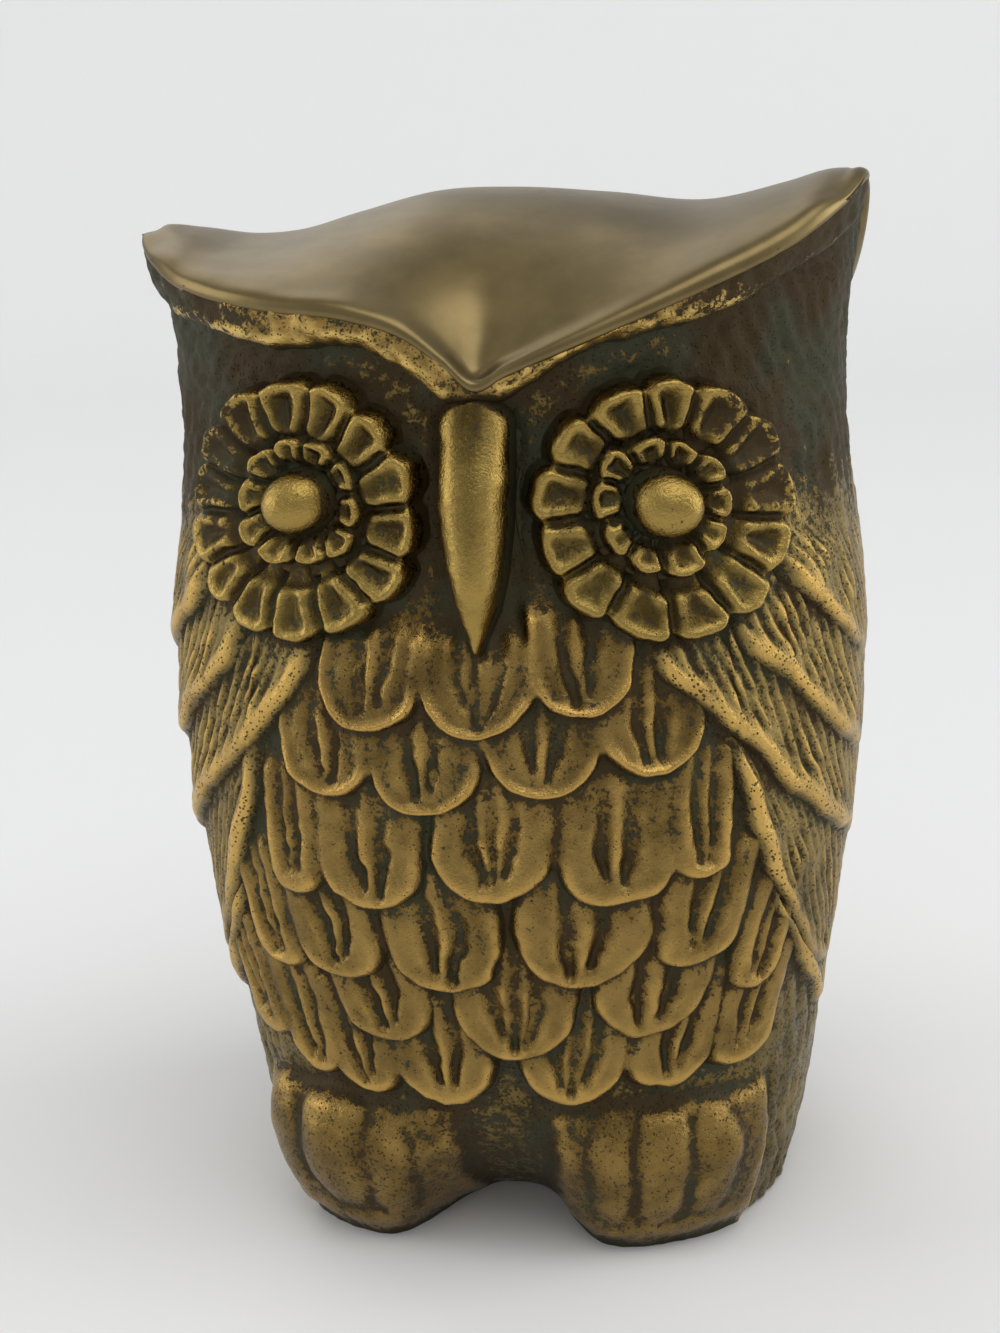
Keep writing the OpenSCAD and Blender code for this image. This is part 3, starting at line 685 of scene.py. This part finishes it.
def agedBrass(name, look):
    # Cast brass, about two parts copper to one of zinc, darkened by handling and polish residue. The eye sees warm
    # gold where it is rubbed, olive brown on the flats, and a dark grey-green film in every hollow. The same dark
    # colour and tarnish also paint shade where hidden carries it, under the body between the feet and on the right
    # pupil, and less of them on the left of the brow band paints light.
    material = bpy.data.materials.new(name)
    material.use_nodes = True
    tree = material.node_tree
    tree.nodes.clear()
    place = addNode(tree, "ShaderNodeTexCoord").outputs["Object"]

    def attribute(key):
        return addNode(tree, "ShaderNodeAttribute", {"attribute_name": key}).outputs["Fac"]

    def noise(size, detail=3.0, rough=0.55, warp=0.0):
        # size is the pattern's real width in mm
        return addNode(tree, "ShaderNodeTexNoise", None, {
            "Vector": place, "Scale": 1000.0 / size / 2, "Detail": detail, "Roughness": rough,
            "Distortion": warp}).outputs["Fac"]

    def calc(a, b, c=0.0, kind="MULTIPLY_ADD", clamp=False):
        # a b + c, unless kind says otherwise
        return addNode(tree, "ShaderNodeMath", {"operation": kind, "use_clamp": clamp}, {
            0: a, 1: b, 2: c}).outputs[0]

    def ramp(value, low, high, start=0.0, end=1.0):
        return addNode(tree, "ShaderNodeMapRange", {"interpolation_type": "SMOOTHSTEP"}, {
            "Value": value, "From Min": low, "From Max": high, "To Min": start, "To Max": end}).outputs[0]

    def blend(share, a, b):
        # sockets 6, 7 and 2 are the colours of this node
        return addNode(tree, "ShaderNodeMix", {"data_type": "RGBA"}, {"Factor": share, 6: a, 7: b}).outputs[2]

    def cells(size):
        # distance to the middle of cells about size mm wide
        return addNode(tree, "ShaderNodeTexVoronoi", {"feature": "F1"}, {
            "Vector": place, "Scale": 1000.0 / size, "Randomness": 1.0}).outputs["Distance"]

    hidden, rubbed, pit = attribute("hidden"), attribute("rubbed"), attribute("pit")
    cloud, blotch = noise(11.0, 3.0), noise(3.0, 4.0, 0.6)
    speck, grain = noise(0.50, 4.0, 0.7, 0.4), noise(0.20, 3.0, 0.7)
    # grime in the hollows, and painted shade where hidden carries it, with an edge broken up by the casting skin as
    # if brushed dry
    broken = calc(speck, look["speck"], hidden)
    broken = calc(grain, look["speck"] * 0.5, broken)
    broken = calc(blotch, look["blotch"], broken)
    grimeAndShade = ramp(broken, look["grimeAndShadeFrom"], look["grimeAndShadeTo"])
    # tarnish: a brown film thin enough to see metal through, deepening into the hollows and into painted shade
    # where hidden carries it
    tarnishAndShade = ramp(calc(blotch, 0.5, hidden), 0.10, look["tarnishAndShadeTo"])
    # pits: tiny dark craters left by the sand, thick where pit is high
    crater = cells(look["pitSize"])
    craterSize = calc(grain, 0.5, calc(pit, 0.55, -0.32))
    craterSize = calc(blotch, 0.5, calc(craterSize, 0.25, kind="SUBTRACT"))
    pits = ramp(calc(craterSize, crater, kind="SUBTRACT"), -0.02, 0.16)
    grimeAndShade = calc(grimeAndShade, calc(pits, look["pitDark"]), kind="MAXIMUM")
    bareAndUnshaded = calc(1.0, grimeAndShade, kind="SUBTRACT", clamp=True)
    shine = ramp(calc(grain, 0.45, rubbed), look["shineFrom"], look["shineTo"])
    shine = calc(shine, bareAndUnshaded)

    tone = ramp(calc(blotch, 0.6, calc(cloud, 0.4)), 0.40, 0.62)
    metal = blend(tone, linear(look["metal"]), linear(look["metalDull"]))
    metal = blend(calc(tarnishAndShade, look["tarnishAndShadeShare"]), metal, linear(look["tarnishAndShade"]))
    metal = blend(shine, metal, linear(look["metalBright"]))
    dark = blend(ramp(noise(5.0, 3.0), 0.42, 0.62), linear(look["darkening"]), linear(look["darkeningGreen"]))
    colour = blend(grimeAndShade, metal, dark)

    wear = calc(noise(1.6, 4.0, 0.7), look["roughSpread"], look["rough"])
    wear = calc(grimeAndShade, look["grimeAndShadeRough"], wear)
    wear = calc(shine, -look["rubSmooth"], wear, clamp=True)
    bumpSmall = addNode(tree, "ShaderNodeBump", None, {
        "Strength": look["bumpSmall"], "Distance": 0.00012, "Height": calc(grain, speck, kind="ADD")}).outputs[0]
    depth = calc(pits, -1.0, calc(grimeAndShade, -0.25))
    bump = addNode(tree, "ShaderNodeBump", None, {
        "Strength": look["bumpPits"], "Distance": 0.00022, "Height": depth, "Normal": bumpSmall}).outputs[0]
    if look.get("rings"):
        # faint marks of a polishing mop and of wet drops that dried: thin circles a few mm across
        ring = cells(look["rings"])
        mark = calc(ramp(ring, 0.30, 0.36), ramp(ring, 0.42, 0.36))
        mark = calc(mark, ramp(noise(14.0, 2.0), 0.52, 0.62))
        colour = blend(calc(mark, 0.30), colour, linear(look["metalBright"]))
        wear = calc(mark, 0.07, wear)
    shader = addNode(tree, "ShaderNodeBsdfPrincipled", None, {
        "Base Color": colour, "Roughness": wear, "Normal": bump,
        "Metallic": calc(grimeAndShade, -look["darkeningDull"], 1.0, clamp=True)})
    out = addNode(tree, "ShaderNodeOutputMaterial")
    tree.links.new(shader.outputs[0], out.inputs[0])
    return material


rubbedLook = {
    "metal": "#8f7542", "metalDull": "#6f5a31", "metalBright": "#bb9752",
    "darkening": "#3f3118", "darkeningGreen": "#3b3924", "darkeningDull": 0.35,
    "tarnishAndShade": "#5d4823", "tarnishAndShadeShare": 0.85, "tarnishAndShadeTo": 0.95,
    "speck": 2.6, "blotch": 0.50, "grimeAndShadeFrom": 2.40, "grimeAndShadeTo": 2.72,
    "pitSize": 0.55, "pitDark": 0.8,           # mm, and how black
    "shineFrom": 0.35, "shineTo": 1.1,
    "rough": 0.16, "roughSpread": 0.22, "grimeAndShadeRough": 0.30, "rubSmooth": 0.05,
    "bumpSmall": 0.95, "bumpPits": 0.9,
}
sandCastBrass = agedBrass("sandCastBrassRubbed", rubbedLook)
pittedBrass = agedBrass("sandCastBrassPitted", {
    **rubbedLook, "speck": 3.2, "grimeAndShadeFrom": 2.28, "grimeAndShadeTo": 2.7, "bumpSmall": 1.0, "bumpPits": 0.8,
    "pitSize": 0.45, "metal": "#a5874c", "metalBright": "#d9b86c", "rough": 0.22})
darkBrass = agedBrass("sandCastBrassDark", {
    **rubbedLook, "metal": "#83703f", "metalDull": "#655835", "metalBright": "#ab8d50", "darkening": "#3d3018",
    "darkeningGreen": "#3c3b29", "speck": 1.8, "grimeAndShadeFrom": 1.68, "grimeAndShadeTo": 1.96, "rough": 0.22})
brownBrass = agedBrass("sandCastBrassBrown", {
    **rubbedLook, "metal": "#6f5f33", "metalDull": "#544624", "metalBright": "#a08648", "tarnishAndShade": "#4b3b19",
    "grimeAndShadeFrom": 2.50, "grimeAndShadeTo": 2.85})
# the wings' brass: lighter, greyer metal colours and less grime than the rubbed look, a painted reflection of the
# white paper at grazing angles
wingBrassPaintedReflection = agedBrass("sandCastBrassPaintedReflection", {
    **rubbedLook, "metal": "#8f7c4b", "metalDull": "#6e5f3b", "metalBright": "#d0aa5e", "tarnishAndShade": "#584828",
    "speck": 3.5, "grimeAndShadeFrom": 3.06, "grimeAndShadeTo": 3.5, "rough": 0.24, "bumpSmall": 1.5,
    "shineFrom": 0.25, "shineTo": 0.95})
mopPolishedBrass = agedBrass("mopPolishedBrass", {
    **rubbedLook, "metal": "#7e6e4a", "metalDull": "#726342", "metalBright": "#948056", "speck": 0.1,
    "tarnishAndShadeShare": 0.0, "blotch": 0.10, "grimeAndShadeFrom": 1.3, "grimeAndShadeTo": 1.8, "rough": 0.32, "roughSpread": 0.07,
    "bumpSmall": 0.05, "bumpPits": 0.1, "rings": 9.0, "rubSmooth": 0.0, "pitDark": 0.0})
print("materials made")


shellStep = {"angle": 0.75, "z": 0.5, "back": 6}


def shellUnder(z):
    # the wall thins above the joint with the crown, so that it stays inside the crown at the ears
    return -body["wall"] + (body["wall"] - 0.8) * ease(z, 108, 114)


def shellPiece(name, low, high):
    # half of the casting, up to the crown's edge, with its plain inside
    a = spread(low, high, shellStep["angle"], shellStep["back"])
    t = spread(0, 1, shellStep["z"] / 110, shellStep["back"])
    angle = np.broadcast_to(a, (len(t), len(a)))
    top = rimHeight(angle) - 1.2
    z = t[:, None] * top
    h = groundHeight(signed(angle), z)
    h = np.where(z < 0.8, h - 0.5 * (1 - z / 0.8) ** 2, h)
    makePiece(name, [patchParts(angle, z, h, shellUnder, shellStep["back"])], darkBrass,
              lambda p, z, h: 0.55 + 0.2 * (z < 40))


shellPiece("front_shell", -90, 90)
shellPiece("back_shell", 90, 270)

crown = {
    # [across, height] along the top from ear tip to ear tip
    "ridge": [(-42, 122.2), (-39.5, 122.6), (-36, 122.0), (-30, 120.8), (-25, 120.9), (-18, 122.6),
              (-8, 124.8), (1, 124.9), (12, 124.1), (24, 123.2), (33, 125.3), (38, 126.8), (42, 126.9)],
    "roll": 2.8, "earRoll": 2.0,       # width of the worn edge in front, and at the ears and behind
    "drop": 1.1,             # how far below the rim the edge ends
    "crease": 36,            # half the width, in half millimetres, over which the crease at the beak fades
    "fall": 2.1,             # 2 is a parabola from the ridge to the edge
    "under": 113.0,          # height of the ceiling inside
    "columns": 432, "rings": 90,
}


def crownPiece():
    # a cap: from the ridge line the surface falls as t^fall to the edge, t running from 0 on the ridge to 1
    angle = np.linspace(-180, 180, crown["columns"], endpoint=False)
    out = browOut(angle)
    roll = crown["roll"] + (crown["earRoll"] - crown["roll"]) * ease(np.abs(angle), 40, 66)
    edge = wallPoint(angle, rimHeight(angle), out - roll) / stretch
    edge[:, 2] += 0.33 * roll - 0.9 * ease(np.abs(angle), 60, 72)
    tip = edge[np.argmin(np.abs(angle - earAt))]
    f = np.linspace(0, 1, crown["rings"] + 1)[1:] ** 0.9
    x, y = edge[:, 0] * f[:, None], (edge[:, 1] - body["centreY"]) * f[:, None] + body["centreY"]

    def ridgeY(x):
        return body["centreY"] + (tip[1] - body["centreY"]) * (x / tip[0]) ** 2

    ahead = np.abs(angle) <= earAt
    front, rear = edge[ahead], edge[~ahead]
    front, rear = front[np.argsort(front[:, 0])], rear[np.argsort(rear[:, 0])]
    top = smoothCurve(crown["ridge"], x)
    z, middleY = np.zeros_like(x), ridgeY(x)
    for line, chosen in ((front, y < middleY), (rear, y >= middleY)):
        edgeY, edgeZ = np.interp(x, line[:, 0], line[:, 1]), np.interp(x, line[:, 0], line[:, 2])
        even = np.linspace(-40, 40, 161)
        plain = np.interp(even, line[:, 0], line[:, 2])
        hump = np.hanning(2 * crown["crease"] + 1) / crown["crease"]
        plain = np.convolve(np.pad(plain, crown["crease"], mode="edge"), hump, mode="valid")
        reach = edgeY - middleY
        short = np.abs(reach) < 0.3
        t = clip((y - middleY) / np.where(short, 1, reach))
        near = np.maximum(t ** 5, ease(np.abs(x), 14, 30))
        edgeZ = np.interp(x, even, plain) * (1 - near) + edgeZ * near
        z = np.where(chosen, top + (edgeZ - top) * np.where(short, 1, t) ** crown["fall"], z)
    z[-1] = edge[:, 2]
    skin = np.stack([x, y, z], -1)
    # the worn edge: a curve (Bezier) that leaves the skin along its own slope and ends pointing straight down
    slope = skin[-1] - skin[-2]
    slope /= np.linalg.norm(slope, axis=1)[:, None]
    end = wallPoint(angle, rimHeight(angle) - crown["drop"], out - 0.1) / stretch
    reach = np.linalg.norm(end - skin[-1], axis=1)[:, None]
    handles = skin[-1] + slope * reach * 0.55, end + np.array([0, 0, 1]) * reach * 0.42
    lip = [(1 - t) ** 3 * skin[-1] + 3 * (1 - t) ** 2 * t * handles[0]
           + 3 * (1 - t) * t * t * handles[1] + t**3 * end for t in np.linspace(0, 1, 11)[1:]]
    lip += [wallPoint(angle, rimHeight(angle) - crown["drop"] - dz, out - dr) / stretch
            for dr, dz in ((0.3, 0.35), (0.9, 0.6), (1.6, 0.8))]
    tuck = [wallPoint(angle, rimHeight(angle) + dz, 0 * angle + r) / stretch
            for r, dz in ((-1.2, -3.0), (-2.9, -3.4))]
    inside = []
    base = tuck[-1]
    for g in np.linspace(0.94, 0.08, 16):
        inside.append(np.stack([base[:, 0] * g, (base[:, 1] - body["centreY"]) * g + body["centreY"],
                                crown["under"] + (np.minimum(base[:, 2], 116) - crown["under"]) * g ** 1.6], -1))
    rings = np.concatenate([skin, np.stack(lip + tuck + inside)]) * stretch
    n, columns = rings.shape[0] * rings.shape[1], len(angle)
    poles = np.array([[0, body["centreY"], crownTop(0.0)], [0, body["centreY"], crown["under"]]]) * stretch
    points = np.concatenate([rings.reshape(-1, 3), poles])
    j = np.arange(columns)
    k = (j + 1) % columns
    last = (rings.shape[0] - 1) * columns
    faces = gridFaces(rings.shape[0], columns, 0, True, True).tolist()
    faces += fan(n, j, k) + fan(n + 1, last + k, last + j)
    # painted as plain metal: no relief of its own, so its map values are the blurred relief's
    ringAngle = np.broadcast_to(angle, rings.shape[:2])
    ringZ = np.full(rings.shape[:2], 126.9)
    kept = np.stack([ringAngle, ringZ, sample(reliefWide, ringAngle, ringZ)], -1).reshape(-1, 3)
    kept = np.concatenate([kept, [[0, 126.9, -1.0], [0, 126.9, -1.0]]])
    makePiece("crown", [(points, faces, kept)], mopPolishedBrass, 0.0)


def crownTop(x):
    return float(smoothCurve(crown["ridge"], np.array([x]))[0])


crownPiece()


def stripPiece(name, low, high, bottom, top, form, material, pit, step=0.26, extraDarkening=0.0, hollowShare=1.2):
    # a band of the body between two angles and two heights, carved by its form
    under, back = -1.4, 4
    a = spread(low, high, step / 0.66, back)
    t = spread(0, 1, step / max(np.max(top(a) - bottom(a)), 1), back)
    angle = np.broadcast_to(a, (len(t), len(a)))
    z = bottom(angle) + t[:, None] * (top(angle) - bottom(angle))
    h = soften(seat(groundHeight(angle, z), form(angle, z)))
    makePiece(name, [patchParts(angle, z, h, under, back)], material, pit, extraDarkening, hollowShare)


def level(value):
    return lambda angle: value + 0 * angle


stripPiece("brow_ridge", -80, 80, lambda a: smoothCurve(brow["lowEdge"], a) - 1.6,
           lambda a: np.maximum(rimHeight(a) - 0.7, smoothCurve(brow["lowEdge"], a) + 0.5), browHeight, pittedBrass,
           0.6, 0.24)
stripPiece("beak", -10.5, 9.5, level(beak["top"] - beak["length"] - 1.2), level(beak["top"] + 1.0), beakHeight,
           brownBrass, 0.2, 0.22, 0.40)
for k, row in enumerate(breastRows):
    lows = [p[1] for p in row]
    stripPiece(f"breast_row_{k + 1}", row[0][0] - 13, row[-1][0] + 13,
               level(min(lows) - 1.5), level(max(lows) + 18.2),
               lambda a, z, k=k: rowHeight(breastRows, k, a, z, 50.0), sandCastBrass, 0.42)
print("breast made")


def eyePieces(side):
    # rings of points round the eye's middle, each closed at its pole
    eye = eyes[side]
    for name, form, reach, count, turns, pit, dark, slot in (
            ("eye_petals", petalHeight, eyes["radius"] + 1.3, 88, 468, 0.3, 0.21, "worn_brass"),
            ("iris", irisHeight, eyes["irisRadius"] + 0.5, 52, 330, 0.3, 0.21, "worn_brass"),
            ("pupil", pupilHeight, eye["pupilRadius"] + 0.4, 30, 120, 0.08, eye["pupilDarkening"], "polished_brass")):
        right, up = (0, 0) if name == "eye_petals" else eye["inside"]
        r = np.linspace(0, reach, count + 1)[1:, None]
        turn = np.linspace(0, 2 * np.pi, turns, endpoint=False)[None, :]
        middleAlong, middleZ = along(eye["angle"], eye["z"]) + right, eye["z"] + up
        angle = angleOf(middleAlong + r * np.cos(turn), eye["z"])
        z = middleZ + r * np.sin(turn)
        h = form(eye, angle, z)
        if name == "eye_petals":
            h = seat(groundHeight(angle, z), h)
        h = soften(h, True)
        middleAngle = float(angleOf(middleAlong, eye["z"]))
        middle = (middleAngle, middleZ, float(form(eye, np.array([middleAngle]), np.array([middleZ]))[0]))
        under = -1.4 if name == "eye_petals" else 0.2
        makePiece(f"{side}_{name}", [discParts(angle, z, np.maximum(h, under + 0.1), under, middle)], brownBrass,
                  pit, dark, 0.55)


def wingPiece(side, sign):
    # a band of wall for each feather, mirrored by sign
    parts = []
    for k in range(1, len(ridges)):
        start = ridges[k][0] - 2.5
        a = spread(start, wing["back"], 0.52, 4)
        t = spread(0, 1, 0.33 / np.mean(ridgeHeight(k - 1, a) - ridgeHeight(k, a) + 3), 4)
        angle = np.broadcast_to(a, (len(t), len(a)))
        safe = np.maximum(angle, ridges[k][0])
        low = ridgeHeight(k, safe) - 1.3
        high = np.where(safe < ridges[k - 1][0], ridges[k - 1][1] + 3.0, ridgeHeight(k - 1, safe)) + 1.4
        z = (low + t[:, None] * (high - low))[:, ::sign]
        angle = angle[:, ::sign] * sign
        h = soften(seat(groundHeight(angle, z), wingBand(k, angle, z, sign)))
        parts.append(patchParts(angle, z, h, -1.4, 4))
    # the wings get slightly less darkening, part of the same painted reflection
    makePiece(f"{side}_wing", parts, wingBrassPaintedReflection,
              lambda p, z, h: 0.66 + 0.1 * ease(np.abs(p), 90, 120), -0.04, 1.5)


for side, sign in (("left", -1), ("right", 1)):
    eyePieces(side)
    wingPiece(side, sign)
    foot = feet[side]
    stripPiece(f"{side}_foot", foot["middle"] - 27, foot["middle"] + 27, level(0.0), level(feet["top"] + 1.5),
               lambda a, z, foot=foot: footHeight(foot, a, z), sandCastBrass, 0.62, 0.26, 0.26, 2.0)

parts = []
for k, row in enumerate(backRows):
    a = spread(row[0][0] - 13, row[-1][0] + 13, 0.5, 4)
    t = spread(0, 1, 0.32 / 18, 4)
    angle = np.broadcast_to(a, (len(t), len(a)))
    z = row[0][1] - 2.2 + t[:, None] * (14.0 if k == 0 else 19.7) + 0 * angle
    h = seat(groundHeight(signed(angle), z), rowHeight(backRows, k, angle, z, 50.0))
    parts.append(patchParts(angle, z, h, -1.4, 4))
makePiece("back_feathers", parts, sandCastBrass, 0.35)
a = spread(148, 212, 0.42, 4)
t = spread(0, 1, 0.27 / 33, 4)
angle = np.broadcast_to(a, (len(t), len(a)))
z = t[:, None] * 36.0 + 0 * angle
h = seat(groundHeight(signed(angle), z), tailHeight(angle, z))
makePiece("tail", [patchParts(angle, z, h, -1.4, 4)], sandCastBrass, 0.35)
print("all pieces made")


studio = {"floor": "#e9e9e8", "back": 0.55, "side": 2.4, "bend": 0.25}


def paperSweep():
    # a sheet that runs back along the floor and curves up behind
    s = np.linspace(0, 1, 81)
    run = s * 2.2
    flat = studio["back"] + 1.1
    quarter = studio["bend"] * math.pi / 2
    turn = clip((run - flat) / quarter) * math.pi / 2
    y = -1.1 + np.minimum(run, flat) + studio["bend"] * np.sin(turn)
    z = studio["bend"] * (1 - np.cos(turn)) + clip(run - flat - quarter, 0, np.inf)
    x = np.linspace(-studio["side"], studio["side"], 9)
    grid = np.stack([np.broadcast_to(x, (81, 9)), np.broadcast_to(y[:, None], (81, 9)),
                     np.broadcast_to(z[:, None], (81, 9))], -1)
    mesh = bpy.data.meshes.new("paperSweep")
    mesh.from_pydata(grid.reshape(-1, 3).tolist(), [], gridFaces(81, 9, 0, False).tolist())
    mesh.polygons.foreach_set("use_smooth", np.ones(len(mesh.polygons), bool))
    obj = bpy.data.objects.new("paperSweep", mesh)
    bpy.context.scene.collection.objects.link(obj)
    paper = bpy.data.materials.new("studioPaper")
    paper.use_nodes = True
    shader = paper.node_tree.nodes["Principled BSDF"]
    shader.inputs["Base Color"].default_value = linear(studio["floor"])
    shader.inputs["Roughness"].default_value = 0.75
    mesh.materials.append(paper)


def areaLight(name, place, target, size, power, glossy=True):
    light = bpy.data.lights.new(name, "AREA")
    light.shape, light.size, light.size_y = "RECTANGLE", size[0], size[1]
    light.energy = power
    obj = bpy.data.objects.new(name, light)
    obj.location = place
    obj.rotation_mode = "QUATERNION"
    obj.rotation_quaternion = (Vector(target) - Vector(place)).to_track_quat("-Z", "Y")
    obj.visible_glossy = glossy
    bpy.context.scene.collection.objects.link(obj)


paperSweep()
areaLight("overheadSoftbox", (0.26, -0.28, 0.92), (0, 0, 0.05), (0.9, 0.7), 3.4)
areaLight("backSoftbox", (-0.55, 0.75, 0.85), (0, 0, 0.1), (0.9, 0.7), 2.0)
areaLight("leftFill", (-0.9, -0.15, 0.35), (0, 0, 0.06), (0.5, 0.7), 2.4)
areaLight("rightFill", (0.9, 0.1, 0.35), (0, 0, 0.06), (0.5, 0.6), 2.8)
areaLight("frontCard", (-0.1, -0.95, 0.22), (0, 0, 0.0), (0.9, 0.3), 1.1, glossy=False)
world = bpy.data.worlds.new("studioRoom")
world.use_nodes = True
world.node_tree.nodes["Background"].inputs["Color"].default_value = (0.97, 0.98, 1.0, 1)
world.node_tree.nodes["Background"].inputs["Strength"].default_value = 0.52
bpy.context.scene.world = world

camera = {"aim": (-3.3, 0.6, 66.0), "distance": 300.0, "rise": 17.0, "turn": 8.5, "roll": 2.5, "lens": 64.82}


def makeCamera():
    # looks back at the aim from turn degrees round and rise degrees up, rolled clockwise
    e, a, roll = (math.radians(camera[k]) for k in ("rise", "turn", "roll"))
    back = Vector((math.sin(a) * math.cos(e), -math.cos(a) * math.cos(e), math.sin(e)))
    right = Vector((math.cos(a), math.sin(a), 0))
    up = back.cross(right)
    right, up = right * math.cos(roll) - up * math.sin(roll), up * math.cos(roll) + right * math.sin(roll)
    data = bpy.data.cameras.new("camera")
    data.sensor_width, data.lens = 36.0, camera["lens"]
    data.clip_start, data.clip_end = 0.01, 20
    obj = bpy.data.objects.new("camera", data)
    turn = Matrix((right, up, back)).transposed().to_4x4()
    obj.matrix_world = Matrix.Translation((Vector(camera["aim"]) + back * camera["distance"]) * mm) @ turn
    bpy.context.scene.collection.objects.link(obj)
    bpy.context.scene.camera = obj


makeCamera()
bpy.context.scene.view_settings.view_transform = "Standard"
